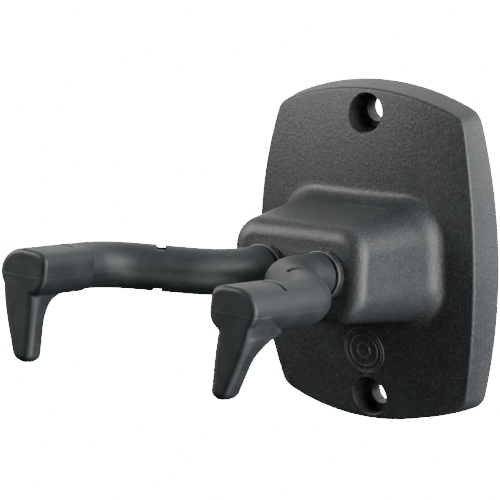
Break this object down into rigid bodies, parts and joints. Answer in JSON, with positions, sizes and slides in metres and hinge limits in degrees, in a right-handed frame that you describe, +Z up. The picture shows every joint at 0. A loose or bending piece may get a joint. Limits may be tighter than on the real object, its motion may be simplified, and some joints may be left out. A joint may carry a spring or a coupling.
{
  "type": "wall guitar hanger",
  "caption": "Wall hanger for a guitar: a domed base plate with a hollow housing, and padded bent arms with down-turned tips that swing on shafts to suit the headstock.",
  "frame": {"origin": "on the wall plane, at the centre of the back of the base", "axes": "+X to the right as one faces the wall, +Y into the wall, +Z up; the arms reach towards -Y"},
  "size_m": [0.0893, 0.1374, 0.103],
  "materials": {
    "base_plastic": "fine spark-eroded grain",
    "arm_rubber": "smooth satin",
    "bush_plastic": "smooth, slightly waxy",
    "zinc_steel": "zinc plated",
    "spring_steel": "oil blackened"
  },
  "bodies": {
    "base": {"base_moulding": "base_plastic", "bearing_plate": "zinc_steel", "bearing_screw_left_upper": "zinc_steel", "bearing_screw_left_lower": "zinc_steel", "bearing_screw_right_upper": "zinc_steel", "bearing_screw_right_lower": "zinc_steel", "left_front_bush": "bush_plastic", "left_rear_bush": "bush_plastic", "left_thrust_washer": "zinc_steel", "left_disc_spring": "spring_steel", "right_front_bush": "bush_plastic", "right_rear_bush": "bush_plastic", "right_thrust_washer": "zinc_steel", "right_disc_spring": "spring_steel"},
    "right_arm": {"right_arm_rod": "zinc_steel", "right_arm_sleeve": "arm_rubber", "right_retaining_clip": "spring_steel", "right_stop_pin": "zinc_steel"},
    "left_arm": {"left_arm_rod": "zinc_steel", "left_arm_sleeve": "arm_rubber", "left_retaining_clip": "spring_steel", "left_stop_pin": "zinc_steel"}
  },
  "joints": [
    {"name": "right_arm_swing", "type": "hinge", "parent": "base", "child": "right_arm", "pos_m": [0.0104, -0.05298, 0.00215], "axis": [0, 0.994, -0.1097], "range_deg": [-16, 36]},
    {"name": "left_arm_swing", "type": "hinge", "parent": "base", "child": "left_arm", "pos_m": [-0.0104, -0.05298, 0.00215], "axis": [0, -0.994, 0.1097], "range_deg": [-8, 44]}
  ]
}
